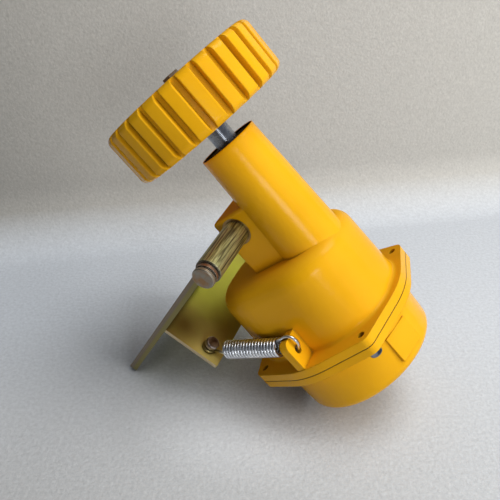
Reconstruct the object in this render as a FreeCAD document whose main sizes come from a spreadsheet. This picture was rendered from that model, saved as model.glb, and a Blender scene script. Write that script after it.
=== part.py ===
"""Belt slip switch: a ribbed wheel on a spindle, in a cast housing that swings on a bracket.

The bracket frame is the part's frame: origin in the middle of the two mounting slots, on the
mounting face, +Z up along the plate and +X away from the conveyor. The swinging unit is drawn in
its own frame, with its z axis along the neck and its origin in the middle of the parting plane,
and is then set on the pivot pin at its resting tilt.
"""
import FreeCAD, Part
import math
import os
import Sketcher

Vector = FreeCAD.Vector
Placement = FreeCAD.Placement
Rotation = FreeCAD.Rotation

X_AXIS = Vector(1, 0, 0)
Y_AXIS = Vector(0, 1, 0)
Z_AXIS = Vector(0, 0, 1)
ORIGIN = Vector(0, 0, 0)
FULL_TURN = 360.0
QUARTER_TURN = 90.0

# Driving dimensions, in millimetres and degrees.
DIMENSIONS = {
    # Resting attitude of the swinging unit on the bracket
    "rest_tilt": 17.0,
    "wheel_rest_turn": -1.2,
    "pivot_height": 94.5,
    "slot_to_pivot": 120.0,
    # Gaps and overruns shared by many pieces
    "fit_gap": 0.02,
    "pivot_clearance": 0.05,
    "lip_clearance": 0.08,
    "face_gap": 0.3,
    "hole_gap": 0.25,
    "overrun": 1.0,
    # Housing flange and cover flange, with four screw ears
    "flange_radius": 59.5,
    "flange_thickness": 6.0,
    "cover_flange_thickness": 5.4,
    "ear_circle_radius": 60.5,
    "ear_radius": 7.0,
    "ear_count": 4,
    "ear_angle": 45.0,
    # Cast chamber between the flange and the neck
    "chamber_centre": -1.0,
    "chamber_half_length": 54.2,
    "chamber_half_width": 43.0,
    "chamber_corner": 38.0,
    "chamber_height": 62.4,
    "chamber_draft_inset": 1.5,
    "chamber_edge_radius": 12.0,
    "chamber_foot_radius": 2.5,
    "chamber_wall": 4.5,
    "chamber_roof": 7.0,
    # Neck with the bearing bores
    "neck_offset": 28.0,
    "neck_top": 140.0,
    "neck_top_radius": 20.0,
    "neck_foot_radius": 22.8,
    "neck_sink": 12.0,
    "bearing_bore_floor": 66.0,
    "spindle_hole_radius": 11.0,
    "spindle_hole_sink": 5.0,
    # Pivot boss beside the neck
    "boss_half_width": 18.0,
    "boss_reach": 13.0,
    "boss_rise": 12.0,
    "boss_foot": 50.0,
    "boss_edge_radius": 2.5,
    # Spring lug on the side of the chamber
    "lug_half_thickness": 3.0,
    "lug_reach": 58.8,
    "lug_root": 34.0,
    "lug_foot": 4.0,
    "lug_top": 27.0,
    "lug_corner_radius": 5.0,
    "lug_hole_radius": 3.0,
    "lug_hole_reach": 51.0,
    "lug_hole_height": 17.0,
    # Cable boss and gland on the far side of the chamber
    "cable_side": 10.0,
    "cable_height": 30.0,
    "cable_thread_root": 30.0,
    "cable_boss_root": 39.0,
    "cable_boss_reach": 49.0,
    "cable_boss_radius": 13.0,
    "cable_radius": 3.5,
    "gland_bore_radius": 4.6,
    "gland_thread_radius": 8.0,
    "gland_pocket_radius": 6.0,
    "gland_hex_radius": 12.7,
    "gland_hex_height": 5.0,
    "gland_neck_height": 8.0,
    "gland_seal_height": 6.0,
    "gland_nut_height": 9.0,
    "gland_dome_radius": 10.7,
    "gland_dome_height": 4.0,
    # Cover cup
    "gasket_thickness": 0.5,
    "cup_mouth_radius": 52.0,
    "cup_floor_radius": 50.5,
    "cup_depth": 41.5,
    "cup_edge_radius": 6.0,
    "cup_wall": 4.0,
    "pad_angle": -22.0,
    "pad_half_width": 10.5,
    "pad_top": -13.0,
    "pad_foot": -33.0,
    "pad_stand": 52.0,
    # Cover screws with their spring washers
    "screw_radius": 2.5,
    "screw_bite": 4.0,
    "screw_head_radius": 4.4,
    "screw_head_height": 3.6,
    "screw_crown_radius": 1.2,
    "screw_washer_radius": 4.6,
    "screw_washer_thickness": 1.2,
    # Contact wheel
    "wheel_radius": 55.0,
    "wheel_width": 35.0,
    "wheel_gap": 15.0,
    "wheel_edge_radius": 4.5,
    "rib_count": 28,
    "groove_depth": 4.0,
    "groove_floor_half": 1.5,
    "groove_mouth_half": 2.1,
    "rib_corner_radius": 0.9,
    "rim_thickness": 13.0,
    "web_inset": 11.5,
    "web_thickness": 12.0,
    "hub_radius": 18.0,
    "hub_recess": 1.6,
    # Spindle with the wheel's key, washer and bolt
    "spindle_radius": 7.5,
    "spindle_end_gap": 1.0,
    "wheel_seat_radius": 7.0,
    "key_half_width": 2.5,
    "key_sink": 3.0,
    "key_rise": 2.0,
    "key_inset": 4.0,
    "key_length": 25.0,
    "bolt_radius": 3.0,
    "bolt_length": 16.0,
    "bolt_head_radius": 5.77,
    "bolt_head_height": 4.0,
    "wheel_washer_radius": 9.0,
    "wheel_washer_thickness": 1.6,
    # Magnet disc on the spindle's tail
    "spindle_tail": 44.0,
    "disc_seat_radius": 5.0,
    "disc_radius": 15.5,
    "disc_thickness": 5.0,
    "magnet_radius": 3.0,
    "magnet_circle_radius": 11.0,
    "magnet_depth": 3.0,
    "magnet_count": 4,
    "disc_screw_radius": 2.0,
    "disc_screw_length": 10.0,
    "disc_screw_head_radius": 7.0,
    "disc_screw_head_height": 2.4,
    # Bearings, seal and rings in the neck
    "bearing_radius": 16.0,
    "bearing_width": 9.0,
    "bearing_ring_wall": 2.6,
    "bearing_seal_inset": 0.5,
    "front_bearing_foot": 121.0,
    "ring_thickness": 1.2,
    "ring_height": 2.2,
    "spacer_wall": 2.5,
    "seal_depth": 7.0,
    "seal_wall": 2.0,
    "seal_web": 1.6,
    "seal_flange_radius": 19.2,
    "seal_flange_thickness": 0.5,
    # Circuit board under the chamber's roof
    "board_drop": 22.0,
    "board_thickness": 1.6,
    "board_low_end": 34.0,
    "board_high_end": 38.0,
    "board_half_width": 28.0,
    "board_hole_inset": 5.0,
    "standoff_radius": 3.2,
    "board_screw_radius": 1.25,
    "board_screw_length": 6.0,
    "board_screw_head_radius": 2.6,
    "board_screw_head_height": 2.0,
    "sensor_half_length": 3.0,
    "sensor_half_width": 2.5,
    "sensor_height": 7.0,
    "terminal_end": 30.0,
    "terminal_length": 11.0,
    "terminal_half_width": 18.0,
    "terminal_height": 10.0,
    # Pivot pin with its bush, washer and ring
    "pin_radius": 8.5,
    "pin_near_end": 67.0,
    "pin_far_end": 27.0,
    "pin_edge": 0.6,
    "pin_groove_radius": 6.4,
    "pin_groove_width": 1.7,
    "pin_tip_radius": 7.4,
    "pin_disc_thickness": 2.2,
    "pin_collar_width": 2.6,
    "bush_wall": 1.5,
    "pin_washer_radius": 13.0,
    "pin_washer_thickness": 2.0,
    "pin_ring_groove_width": 1.6,
    # Bracket plate, its tongue and the spring shelf
    "plate_thickness": 6.0,
    "plate_half_width": 55.0,
    "plate_drop": 152.5,
    "plate_corner_radius": 4.0,
    "plate_rise": 10.0,
    "tongue_gap": 3.0,
    "tongue_drop": 6.0,
    "shelf_drop": 81.4,
    "shelf_thickness": 3.0,
    "shelf_reach": 44.0,
    "shelf_corner_radius": 1.0,
    "slot_spacing": 60.0,
    "slot_half_width": 5.5,
    "slot_half_travel": 7.0,
    # Anchor screw on the shelf
    "anchor_reach": 32.0,
    "anchor_side": 46.0,
    "anchor_radius": 2.5,
    "anchor_stand": 5.0,
    "anchor_tail": 7.0,
    "anchor_head_radius": 4.8,
    "anchor_head_height": 3.4,
    "anchor_washer_radius": 5.0,
    "anchor_washer_thickness": 1.0,
    "anchor_nut_radius": 4.6,
    "anchor_nut_height": 4.0,
    # Tension spring with an eye on the anchor and a hook through the lug
    "spring_radius": 5.4,
    "wire_radius": 1.15,
    "spring_turns": 19,
    "coil_pitch": 2.4,
    "coil_valley": 0.9,
    "eye_radius": 3.9,
    "eye_height": 1.3,
    "hook_radius": 6.1,
    "hook_foot": 5.7,
    "hook_rise": 3.0,
    "hook_lead": 8.5,
    "hook_tip": 3.5,
    "wire_sink": 1.7,
}


def size(name):
    """Number of a named dimension."""
    return float(DIMENSIONS[name])


def split_term(word):
    """Factor and name of a term such as "2*wire_radius"."""
    factor, star, name = word.rpartition("*")
    return (float(factor) if star else 1.0), name


def total(terms):
    """Number of a sum such as "neck_top - seal_depth + 2*wire_radius"."""
    result = 0.0
    sign = 1.0
    for word in terms.split():
        if word in "+-":
            sign = 1.0 if word == "+" else -1.0
            continue
        factor, name = split_term(word)
        number = size(name) if name in DIMENSIONS else float(name)
        result += sign * factor * number
    return result


def formula(terms):
    """The same sum as an expression on the sheet."""
    words = []
    for word in terms.split():
        factor, star, name = word.rpartition("*")
        words.append(factor + star + ("dims." + name if name in DIMENSIONS else name))
    return " ".join(words)


def make_sheet(document):
    """Sheet with one aliased cell for each driving dimension."""
    sheet = document.addObject("Spreadsheet::Sheet", "dims")
    for row, (name, number) in enumerate(DIMENSIONS.items(), start=1):
        sheet.set("A%d" % row, name)
        sheet.set("B%d" % row, str(number))
        sheet.setAlias("B%d" % row, name)
    return sheet


doc = FreeCAD.newDocument("belt_slip_switch")
make_sheet(doc)
doc.recompute()

pieces = {}
homes = {}


def bind(feature, **formulas):
    """Bind properties of a feature to sums of dimensions."""
    for name, terms in formulas.items():
        feature.setExpression(name, formula(terms))


def new_body(label, home):
    """Empty body that becomes one sub-part, with the frame that it is drawn in."""
    body = doc.addObject("PartDesign::Body", label)
    body.Label = label
    pieces[label] = body
    homes[label] = home
    return body


def master_body(label):
    """Body that is only the pattern of repeated solids."""
    body = doc.addObject("PartDesign::Body", label)
    body.Label = label
    return body


def base_plane(body, role):
    """One of a body's own origin planes."""
    return next(plane for plane in body.Origin.OriginFeatures if plane.Role == role)


def new_sketch(body, name, role, lift="0"):
    """Sketch on an origin plane, lifted along the plane's normal."""
    sketch = body.newObject("Sketcher::SketchObject", name)
    sketch.AttachmentSupport = (base_plane(body, role), [""])
    sketch.MapMode = "FlatFace"
    sketch.AttachmentOffset = Placement(Vector(0, 0, total(lift)), Rotation())
    sketch.setExpression("AttachmentOffset.Base.z", formula(lift))
    return sketch


def hold(sketch, kind, reference, terms):
    """Dimension a sketch point, or a circle, from the sheet."""
    index = sketch.addConstraint(Sketcher.Constraint(kind, *reference, total(terms)))
    sketch.setExpression("Constraints[%d]" % index, formula(terms))


def draw_polygon(sketch, corners):
    """Closed outline of straight runs, each corner held by two distances from the origin."""
    points = [Vector(total(x), total(y), 0) for x, y in corners]
    count = len(points)
    for index, point in enumerate(points):
        sketch.addGeometry(Part.LineSegment(point, points[(index + 1) % count]), False)
    for index, (x, y) in enumerate(corners):
        sketch.addConstraint(Sketcher.Constraint("Coincident", index, 2, (index + 1) % count, 1))
        hold(sketch, "DistanceX", (-1, 1, index, 1), x)
        hold(sketch, "DistanceY", (-1, 1, index, 1), y)


def draw_circle(sketch, x, y, radius):
    """Circle held by its centre and radius."""
    centre = Vector(total(x), total(y), 0)
    index = sketch.addGeometry(Part.Circle(centre, Z_AXIS, total(radius)), False)
    hold(sketch, "DistanceX", (-1, 1, index, 3), x)
    hold(sketch, "DistanceY", (-1, 1, index, 3), y)
    hold(sketch, "Radius", (index,), radius)


def draw_rounded_rectangle(sketch, centre_x, half_length, half_width, corner):
    """Rounded rectangle about a centre on the x axis, as four runs and four arcs."""
    middle = total(centre_x)
    radius = total(corner)
    reach = total(half_length) - radius
    breadth = total(half_width) - radius
    quarter = math.pi / 2
    arcs = []
    for turn, (side_x, side_y) in enumerate(((1, 1), (-1, 1), (-1, -1), (1, -1))):
        centre = Vector(middle + side_x * reach, side_y * breadth, 0)
        circle = Part.Circle(centre, Z_AXIS, radius)
        arc = Part.ArcOfCircle(circle, turn * quarter, (turn + 1) * quarter)
        arcs.append(sketch.addGeometry(arc, False))
    for turn, arc in enumerate(arcs):
        following = arcs[(turn + 1) % len(arcs)]
        start = sketch.getPoint(arc, 2)
        finish = sketch.getPoint(following, 1)
        sketch.addGeometry(Part.LineSegment(start, finish), False)


def draw_chain(sketch, *curves):
    """Lines and arcs that already meet end to end."""
    for curve in curves:
        sketch.addGeometry(curve, False)


def add_pad(body, name, sketch, length):
    """Pad of a sketch."""
    pad = body.newObject("PartDesign::Pad", name)
    pad.Profile = sketch
    bind(pad, Length=length)
    return pad


def add_pocket(body, name, sketch, depth, upwards=False):
    """Pocket of a sketch, downwards unless told otherwise."""
    pocket = body.newObject("PartDesign::Pocket", name)
    pocket.Profile = sketch
    pocket.Reversed = upwards
    bind(pocket, Length=depth)
    return pocket


def add_revolution(body, name, corners):
    """Profile of (radius, height) corners turned about the body's z axis."""
    sketch = new_sketch(body, name + "_profile", "XZ_Plane")
    draw_polygon(sketch, corners)
    turned = body.newObject("PartDesign::Revolution", name)
    turned.Profile = sketch
    turned.ReferenceAxis = (sketch, ["V_Axis"])
    turned.Angle = FULL_TURN
    return turned


def add_primitive(body, kind, name, base, turn=None, **formulas):
    """Additive or subtractive primitive at a base point given as three sums."""
    primitive = body.newObject("PartDesign::" + kind, name)
    for prop, terms in formulas.items():
        setattr(primitive, prop, total(terms))
    primitive.Placement = Placement(Vector(*[total(terms) for terms in base]), turn or Rotation())
    bind(primitive, **formulas)
    for letter, terms in zip("xyz", base):
        primitive.setExpression("Placement.Base." + letter, formula(terms))
    return primitive


def add_polar(body, name, feature, count):
    """Pattern of one feature about the body's z axis."""
    pattern = body.newObject("PartDesign::PolarPattern", name)
    pattern.Originals = [feature]
    axis = next(line for line in body.Origin.OriginFeatures if line.Role == "Z_Axis")
    pattern.Axis = (axis, [""])
    pattern.Angle = FULL_TURN
    bind(pattern, Occurrences=count)
    body.Tip = pattern
    return pattern


def edges_where(feature, wanted):
    """Names of a feature's edges whose middle point passes a test."""
    doc.recompute()
    names = []
    for index, edge in enumerate(feature.Shape.Edges, start=1):
        middle = edge.valueAt((edge.FirstParameter + edge.LastParameter) / 2)
        if wanted(middle):
            names.append("Edge%d" % index)
    return names


def add_fillet(body, name, feature, wanted, radius):
    """Fillet of the edges that pass a test."""
    fillet = body.newObject("PartDesign::Fillet", name)
    fillet.Base = (feature, edges_where(feature, wanted))
    bind(fillet, Radius=radius)
    body.Tip = fillet
    return fillet


def near(number, target, slack=0.05):
    """True where two lengths agree."""
    return abs(number - target) < slack


def ring_places(count, radius, height, start_angle):
    """Places evenly spaced on a circle about the z axis."""
    step = FULL_TURN / count
    for index in range(count):
        turn = Rotation(Z_AXIS, start_angle + index * step)
        yield Placement(turn.multVec(Vector(radius, 0, height)), turn)


def add_repeat(label, home, master, places):
    """Sub-part made of separate copies of one body's solid."""
    doc.recompute()
    copies = []
    for place in places:
        copy = master.Shape.copy()
        copy.Placement = place * copy.Placement
        copies.append(copy)
    group = doc.addObject("Part::Feature", label)
    group.Label = label
    group.Shape = Part.makeCompound(copies)
    pieces[label] = group
    homes[label] = home
    return group


# Turns that lay a piece's z axis along +y or along +x.
ACROSS = Rotation(X_AXIS, -QUARTER_TURN)
SIDEWAYS = Rotation(Y_AXIS, QUARTER_TURN)


def unit_frame():
    """Placement that sets the swinging unit on the pivot pin at its resting tilt."""
    pivot = Vector(size("plate_thickness"), 0, size("slot_to_pivot"))
    lean = Rotation(Y_AXIS, size("rest_tilt") - QUARTER_TURN)
    return Placement(pivot, lean) * Placement(Vector(0, 0, -size("pivot_height")), Rotation())


# Frames that sub-parts are drawn in: bracket, pin, swinging unit, spindle and cable gland.
BRACKET = Placement(Vector(size("plate_thickness"), 0, size("slot_to_pivot")), Rotation())
PIN = BRACKET * Placement(ORIGIN, ACROSS)
UNIT = unit_frame()
SPINDLE = UNIT * Placement(Vector(size("neck_offset"), 0, 0), Rotation(Z_AXIS, size("wheel_rest_turn")))
GLAND = UNIT * Placement(Vector(-size("cable_side"), 0, size("cable_height")), ACROSS)


def add_flange(body, name, floor, thickness):
    """Round flange with screw ears whose sides run tangent to the rim."""
    rim = new_sketch(body, name + "_rim", "XY_Plane", floor)
    draw_circle(rim, "0", "0", "flange_radius")
    add_pad(body, name + "_disc", rim, thickness)
    cosine = (size("flange_radius") - size("ear_radius")) / size("ear_circle_radius")
    slope = Vector(cosine, math.sqrt(1 - cosine * cosine), 0)
    centre = Vector(size("ear_circle_radius"), 0, 0)
    rim_point = slope * size("flange_radius")
    ear_point = centre + slope * size("ear_radius")
    crown = centre + Vector(size("ear_radius"), 0, 0)
    turn = Rotation(Z_AXIS, size("ear_angle"))
    mirrored = [Vector(point.x, -point.y, 0) for point in (ear_point, rim_point)]
    start, lip, far_lip, finish = [turn.multVec(p) for p in [rim_point, ear_point] + mirrored]
    ear = new_sketch(body, name + "_ear", "XY_Plane", floor)
    draw_chain(ear, Part.LineSegment(start, lip), Part.Arc(lip, turn.multVec(crown), far_lip),
               Part.LineSegment(far_lip, finish), Part.LineSegment(finish, start))
    pad = add_pad(body, name + "_ear_pad", ear, thickness)
    return add_polar(body, name + "_ears", pad, "ear_count")


def add_ear_holes(body, name, floor, depth, radius):
    """Holes for the cover screws."""
    sketch = new_sketch(body, name + "_circle", "XY_Plane", floor)
    spot = Rotation(Z_AXIS, size("ear_angle")).multVec(Vector(size("ear_circle_radius"), 0, 0))
    sketch.addGeometry(Part.Circle(spot, Z_AXIS, total(radius)), False)
    hold(sketch, "Radius", (0,), radius)
    pocket = add_pocket(body, name, sketch, depth, upwards=True)
    return add_polar(body, name + "_set", pocket, "ear_count")


def add_chamber(body, kind, name, inset, floor, roof):
    """Drafted rounded box, as a loft between its foot and its top outline."""
    foot = new_sketch(body, name + "_foot", "XY_Plane", floor)
    top = new_sketch(body, name + "_top", "XY_Plane", roof)
    for sketch, narrowing in ((foot, inset), (top, inset + " - chamber_draft_inset")):
        sizes = ("chamber_half_length", "chamber_half_width", "chamber_corner")
        lessened = ["%s - %s" % (word, narrowing) for word in sizes]
        draw_rounded_rectangle(sketch, "chamber_centre", *lessened)
    loft = body.newObject("PartDesign::" + kind, name)
    loft.Profile = foot
    loft.Sections = [top]
    return loft


def add_pivot_boss(body):
    """Square boss between the neck and the pivot pin, with rounded outer edges."""
    boss = add_primitive(
        body, "AdditiveBox", "pivot_boss", ("0 - boss_reach", "0 - boss_half_width", "boss_foot"),
        Length="boss_reach + neck_offset", Width="2*boss_half_width",
        Height="pivot_height + boss_rise - boss_foot")
    face = -size("boss_reach")
    crown = total("pivot_height + boss_rise")
    side = size("boss_half_width")

    def outer_edge(middle):
        """Edges round the boss's outer face and along its top."""
        if near(middle.x, face):
            return middle.z > size("chamber_height")
        along_top = near(middle.z, crown) and near(abs(middle.y), side)
        return along_top and middle.x < size("neck_offset")

    add_fillet(body, "boss_edges", boss, outer_edge, "boss_edge_radius")


def add_spring_lug(body):
    """Flat lug on the flange for the spring's hook, with a rounded outer corner."""
    lug = add_primitive(
        body, "AdditiveBox", "spring_lug", ("0 - lug_half_thickness", "0 - lug_reach", "lug_foot"),
        Length="2*lug_half_thickness", Width="lug_reach - lug_root", Height="lug_top - lug_foot")

    def outer_corner(middle):
        """Edge at the lug's outer top corner."""
        return near(middle.y, -size("lug_reach")) and near(middle.z, size("lug_top"))

    add_fillet(body, "lug_corner", lug, outer_corner, "lug_corner_radius")


def make_housing():
    """Cast housing: flange, chamber, neck, pivot boss, spring lug and cable boss."""
    body = new_body("housing", UNIT)
    add_flange(body, "flange", "0", "flange_thickness")
    chamber = add_chamber(body, "AdditiveLoft", "chamber", "0", "flange_thickness", "chamber_height")
    roof = size("chamber_height")
    ledge = size("flange_thickness")
    inside = total("flange_radius - overrun")
    shoulder = add_fillet(body, "shoulder", chamber, lambda middle: near(middle.z, roof),
                          "chamber_edge_radius")
    add_fillet(body, "chamber_root", shoulder,
               lambda middle: near(middle.z, ledge) and math.hypot(middle.x, middle.y) < inside,
               "chamber_foot_radius")
    add_primitive(body, "AdditiveCone", "neck", ("neck_offset", "0", "chamber_height - neck_sink"),
                  Radius1="neck_foot_radius", Radius2="neck_top_radius",
                  Height="neck_top - chamber_height + neck_sink")
    add_pivot_boss(body)
    add_spring_lug(body)
    add_primitive(body, "AdditiveCylinder", "cable_boss",
                  ("0 - cable_side", "cable_boss_root", "cable_height"), ACROSS,
                  Radius="cable_boss_radius", Height="cable_boss_reach - cable_boss_root")
    cut_housing(body)
    return body


def cut_housing(body):
    """Cavity, bearing bores, pin bore, lug hole, cable thread and screw holes of the housing."""
    ceiling = "chamber_height - chamber_roof"
    add_chamber(body, "SubtractiveLoft", "cavity", "chamber_wall", "0", ceiling)
    add_primitive(body, "SubtractiveCylinder", "bearing_bore",
                  ("neck_offset", "0", "bearing_bore_floor"),
                  Radius="bearing_radius + fit_gap", Height="neck_top - bearing_bore_floor")
    add_primitive(body, "SubtractiveCylinder", "spindle_hole",
                  ("neck_offset", "0", ceiling + " - spindle_hole_sink"), Radius="spindle_hole_radius",
                  Height="bearing_bore_floor - chamber_height + chamber_roof + spindle_hole_sink")
    add_primitive(body, "SubtractiveCylinder", "pin_bore",
                  ("0", "0 - boss_half_width - overrun", "pivot_height"), ACROSS,
                  Radius="pin_radius + pivot_clearance + bush_wall",
                  Height="2*boss_half_width + 2*overrun")
    add_primitive(body, "SubtractiveCylinder", "lug_hole",
                  ("0 - lug_half_thickness - overrun", "0 - lug_hole_reach", "lug_hole_height"), SIDEWAYS,
                  Radius="lug_hole_radius", Height="2*lug_half_thickness + 2*overrun")
    add_primitive(body, "SubtractiveCylinder", "cable_thread",
                  ("0 - cable_side", "cable_thread_root", "cable_height"), ACROSS,
                  Radius="gland_thread_radius + fit_gap",
                  Height="cable_boss_reach - cable_thread_root + overrun")
    add_ear_holes(body, "flange_holes", "0", "flange_thickness", "screw_radius + fit_gap")


def make_cover():
    """Cast cover: round cup with a flange and a raised bare pad on its side."""
    body = new_body("cover", UNIT)
    under = "0 - gasket_thickness - cover_flange_thickness"
    cup = add_revolution(body, "cup", (
        ("0", "0 - cup_depth"), ("cup_floor_radius", "0 - cup_depth"), ("cup_mouth_radius", under),
        ("cup_mouth_radius", "0 - gasket_thickness"), ("0", "0 - gasket_thickness")))
    floor = -size("cup_depth")
    add_fillet(body, "cup_edge", cup, lambda middle: near(middle.z, floor), "cup_edge_radius")
    add_flange(body, "cover_flange", under, "cover_flange_thickness")
    add_side_pad(body)
    hollow = new_sketch(body, "cup_hollow_circle", "XY_Plane", "0 - gasket_thickness")
    draw_circle(hollow, "0", "0", "cup_floor_radius - cup_wall")
    add_pocket(body, "cup_hollow", hollow, "cup_depth - cup_wall - gasket_thickness")
    add_ear_holes(body, "cover_holes", under, "cover_flange_thickness", "screw_radius + hole_gap")
    return body


def add_side_pad(body):
    """Raised rectangular pad on the side of the cup."""
    turn = Rotation(Z_AXIS, size("pad_angle"))
    corner = turn.multVec(Vector(0, -size("pad_half_width"), 0))
    pad = body.newObject("PartDesign::AdditiveBox", "side_pad")
    bind(pad, Length="pad_stand", Width="2*pad_half_width", Height="pad_top - pad_foot")
    pad.Placement = Placement(corner + Vector(0, 0, size("pad_foot")), turn)


def make_gasket():
    """Flat gasket between the two flanges."""
    body = new_body("cover_gasket", UNIT)
    add_flange(body, "gasket", "0 - gasket_thickness", "gasket_thickness")
    add_primitive(body, "SubtractiveCylinder", "gasket_window",
                  ("0", "0", "0 - gasket_thickness - overrun"),
                  Radius="cup_floor_radius - cup_wall", Height="gasket_thickness + 2*overrun")
    add_ear_holes(body, "gasket_holes", "0 - gasket_thickness", "gasket_thickness",
                  "screw_radius + hole_gap")


def make_cover_fasteners():
    """Pan-head screws with spring washers, up through the cover's ears into the housing."""
    under = "0 - gasket_thickness - cover_flange_thickness"
    ears = list(ring_places(int(size("ear_count")), size("ear_circle_radius"), 0, size("ear_angle")))
    washer = master_body("screw_washer")
    seat = under + " - screw_washer_thickness"
    add_revolution(washer, "screw_washer_turned", tube_corners(
        "screw_radius + hole_gap", "screw_washer_radius", seat, under))
    add_repeat("cover_washers", UNIT, washer, ears)
    screw = master_body("cover_screw")
    crown = seat + " - screw_head_height"
    head = add_primitive(screw, "AdditiveCylinder", "screw_head", ("0", "0", crown),
                         Radius="screw_head_radius", Height="screw_head_height")
    add_fillet(screw, "screw_crown", head, lambda middle: near(middle.z, total(crown)),
               "screw_crown_radius")
    grip = "screw_washer_thickness + cover_flange_thickness + gasket_thickness"
    add_primitive(screw, "AdditiveCylinder", "screw_shank", ("0", "0", seat), Radius="screw_radius",
                  Height=grip + " + screw_bite")
    add_repeat("cover_screws", UNIT, screw, ears)


def turned_piece(label, home, corners):
    """Sub-part that is one turned profile."""
    body = new_body(label, home)
    add_revolution(body, label + "_turned", corners)
    return body


def tube_corners(inner, outer, foot, top):
    """Profile of a plain ring."""
    return ((inner, foot), (outer, foot), (outer, top), (inner, top))


WHEEL_FOOT = "neck_top + wheel_gap"
WHEEL_TOP = WHEEL_FOOT + " + wheel_width"
HUB_TOP = WHEEL_TOP + " - hub_recess"


def make_wheel():
    """Ribbed contact wheel: rim, web and hub turned, then grooved along the rim."""
    body = new_body("contact_wheel", SPINDLE)
    web_foot = WHEEL_FOOT + " + web_inset"
    web_top = web_foot + " + web_thickness"
    rim = "wheel_radius - rim_thickness"
    turned = add_revolution(body, "wheel_turned", (
        ("wheel_seat_radius", WHEEL_FOOT), ("hub_radius", WHEEL_FOOT), ("hub_radius", web_foot),
        (rim, web_foot), (rim, WHEEL_FOOT), ("wheel_radius", WHEEL_FOOT), ("wheel_radius", WHEEL_TOP),
        (rim, WHEEL_TOP), (rim, web_top), ("hub_radius", web_top), ("hub_radius", HUB_TOP),
        ("wheel_seat_radius", HUB_TOP)))
    faces = (total(WHEEL_FOOT), total(WHEEL_TOP))

    def outer_rim(middle):
        """Edges at the two ends of the wheel's running face."""
        on_rim = near(math.hypot(middle.x, middle.y), size("wheel_radius"))
        return on_rim and any(near(middle.z, face) for face in faces)

    add_fillet(body, "rim_edges", turned, outer_rim, "wheel_edge_radius")
    add_grooves(body)
    add_primitive(body, "SubtractiveBox", "keyway", ("0", "0 - key_half_width", WHEEL_FOOT),
                  Length="wheel_seat_radius + key_rise + fit_gap", Width="2*key_half_width",
                  Height="wheel_width")


def add_grooves(body):
    """Axial grooves with rounded mouths, which leave the wheel's ribs between them."""
    rim = size("wheel_radius")
    floor = rim - size("groove_depth")
    rounding = size("rib_corner_radius")
    shoulder = rim - rounding
    outside = rim + size("overrun")
    bend = rounding * math.sqrt(0.5)
    floor_half, mouth_half = size("groove_floor_half"), size("groove_mouth_half")
    wide = mouth_half + rounding
    sides = []
    for side in (1, -1):
        root = Vector(floor, side * floor_half, 0)
        lip = Vector(shoulder, side * mouth_half, 0)
        middle = Vector(shoulder + bend, side * (wide - bend), 0)
        crown = Vector(rim, side * wide, 0)
        rise = [Part.LineSegment(root, lip), Part.Arc(lip, middle, crown),
                Part.LineSegment(crown, Vector(outside, side * wide, 0))]
        sides.extend(rise)
    sketch = new_sketch(body, "groove_outline", "XY_Plane", WHEEL_FOOT)
    draw_chain(sketch, *sides)
    draw_chain(sketch, Part.LineSegment(Vector(floor, floor_half, 0), Vector(floor, -floor_half, 0)),
               Part.LineSegment(Vector(outside, wide, 0), Vector(outside, -wide, 0)))
    groove = add_pocket(body, "groove", sketch, "wheel_width", upwards=True)
    add_polar(body, "grooves", groove, "rib_count")


def make_spindle():
    """Spindle with a keyed wheel seat, a bearing length and a seat for the magnet disc."""
    body = new_body("spindle", SPINDLE)
    shoulder = "spindle_tail + disc_thickness"
    seat = "wheel_seat_radius - fit_gap"
    end = HUB_TOP + " - spindle_end_gap"
    add_revolution(body, "spindle_turned", (
        ("0", "spindle_tail"), ("disc_seat_radius", "spindle_tail"), ("disc_seat_radius", shoulder),
        ("spindle_radius", shoulder), ("spindle_radius", WHEEL_FOOT), (seat, WHEEL_FOOT), (seat, end),
        ("0", end)))
    add_primitive(body, "SubtractiveCylinder", "bolt_hole",
                  ("0", "0", HUB_TOP + " - bolt_length"),
                  Radius="bolt_radius + fit_gap", Height="bolt_length")
    add_primitive(body, "SubtractiveBox", "key_seat",
                  ("wheel_seat_radius - key_sink", "0 - key_half_width", WHEEL_FOOT + " + key_inset"),
                  Length="key_sink + overrun", Width="2*key_half_width", Height="key_length")
    add_primitive(body, "SubtractiveCylinder", "disc_screw_hole", ("0", "0", "spindle_tail"),
                  Radius="disc_screw_radius + fit_gap", Height="disc_screw_length + overrun")


def make_wheel_fasteners():
    """Parallel key, washer and hexagon bolt that hold the wheel on the spindle."""
    key = new_body("wheel_key", SPINDLE)
    add_primitive(key, "AdditiveBox", "key",
                  ("wheel_seat_radius - key_sink + fit_gap", "fit_gap - key_half_width",
                   WHEEL_FOOT + " + key_inset + fit_gap"),
                  Length="key_sink + key_rise - fit_gap", Width="2*key_half_width - 2*fit_gap",
                  Height="key_length - 2*fit_gap")
    seat = HUB_TOP + " + wheel_washer_thickness"
    turned_piece("wheel_washer", SPINDLE, tube_corners(
        "bolt_radius + hole_gap", "wheel_washer_radius", HUB_TOP, seat))
    bolt = new_body("wheel_bolt", SPINDLE)
    add_primitive(bolt, "AdditivePrism", "bolt_head", ("0", "0", seat),
                  Circumradius="bolt_head_radius", Height="bolt_head_height")
    add_primitive(bolt, "AdditiveCylinder", "bolt_shank", ("0", "0", seat + " - bolt_length"),
                  Radius="bolt_radius", Height="bolt_length")


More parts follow.
